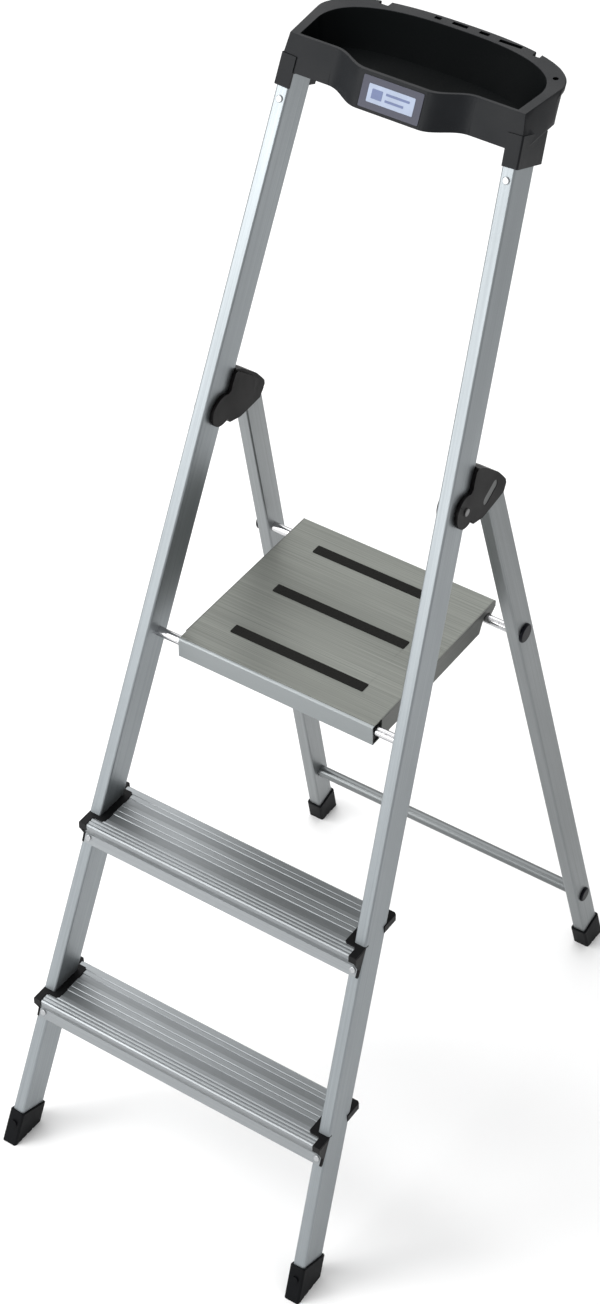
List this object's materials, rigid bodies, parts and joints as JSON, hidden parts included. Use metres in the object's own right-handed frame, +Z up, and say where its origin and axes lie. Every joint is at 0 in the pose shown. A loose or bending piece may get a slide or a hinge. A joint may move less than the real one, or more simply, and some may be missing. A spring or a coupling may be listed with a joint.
{
  "type": "step ladder",
  "caption": "Folding aluminium step ladder with ribbed treads, a hinged standing platform, a rear frame that swings shut on fork hinges and a tool tray on top",
  "frame": {"origin": "on the floor, at the middle of the opened ladder's footprint", "axes": "+Z up, +X across the width, the climbing side faces -Y"},
  "size_m": [0.4546, 0.7412, 1.366],
  "materials": {
    "stile": "anodised, satin",
    "leg": "anodised, satin",
    "step": "anodised, ribbed along its length",
    "rivet": "plain",
    "rod": "drawn, bright",
    "tube": "anodised, satin",
    "deck": "brushed across the width",
    "grip": "matt, fine grit",
    "tray": "moulded, satin",
    "label": "plain printed label",
    "shoe": "moulded, matt",
    "cap": "moulded",
    "fork": "moulded",
    "plug": "moulded",
    "pad": "moulded, satin",
    "bush": "moulded"
  },
  "bodies": {
    "front_frame": {"front_foot_left": "shoe", "front_foot_right": "shoe", "front_rod": "rod", "hinge_bushes": "bush", "step_cap_lower_left": "cap", "step_cap_lower_right": "cap", "step_cap_upper_left": "cap", "step_cap_upper_right": "cap", "step_lower": "step", "step_rivets": "rivet", "step_upper": "step", "stile_left": "stile", "stile_right": "stile", "tool_tray": "tray", "tray_label": "label", "tray_rivets": "rivet"},
    "rear_frame": {"cross_tube": "tube", "fork_pads": "pad", "fork_rivets": "rivet", "hinge_fork_left": "fork", "hinge_fork_right": "fork", "hinge_pins": "rivet", "rear_foot_left": "shoe", "rear_foot_right": "shoe", "rear_leg_left": "leg", "rear_leg_right": "leg", "rear_rod": "rod", "rod_plugs": "plug", "tube_plugs": "plug"},
    "platform": {"grip_strip_front": "grip", "grip_strip_middle": "grip", "grip_strip_rear": "grip", "platform_bushes": "bush", "platform_end_plates": "deck", "platform_panel": "deck"}
  },
  "joints": [
    {"name": "rear_frame_fold", "type": "hinge", "parent": "front_frame", "child": "rear_frame", "pos_m": [0, 0.03196, 0.943], "axis": [-1, 0, 0], "range_deg": [0, 36.5]},
    {"name": "platform_fold", "type": "hinge", "parent": "front_frame", "child": "platform", "pos_m": [0, -0.07607, 0.679], "axis": [1, 0, 0], "range_deg": [0, 68.72]}
  ],
  "couplings": [
    {"joint": "platform_fold", "follows": "rear_frame_fold", "ratio": 1.8825}
  ]
}
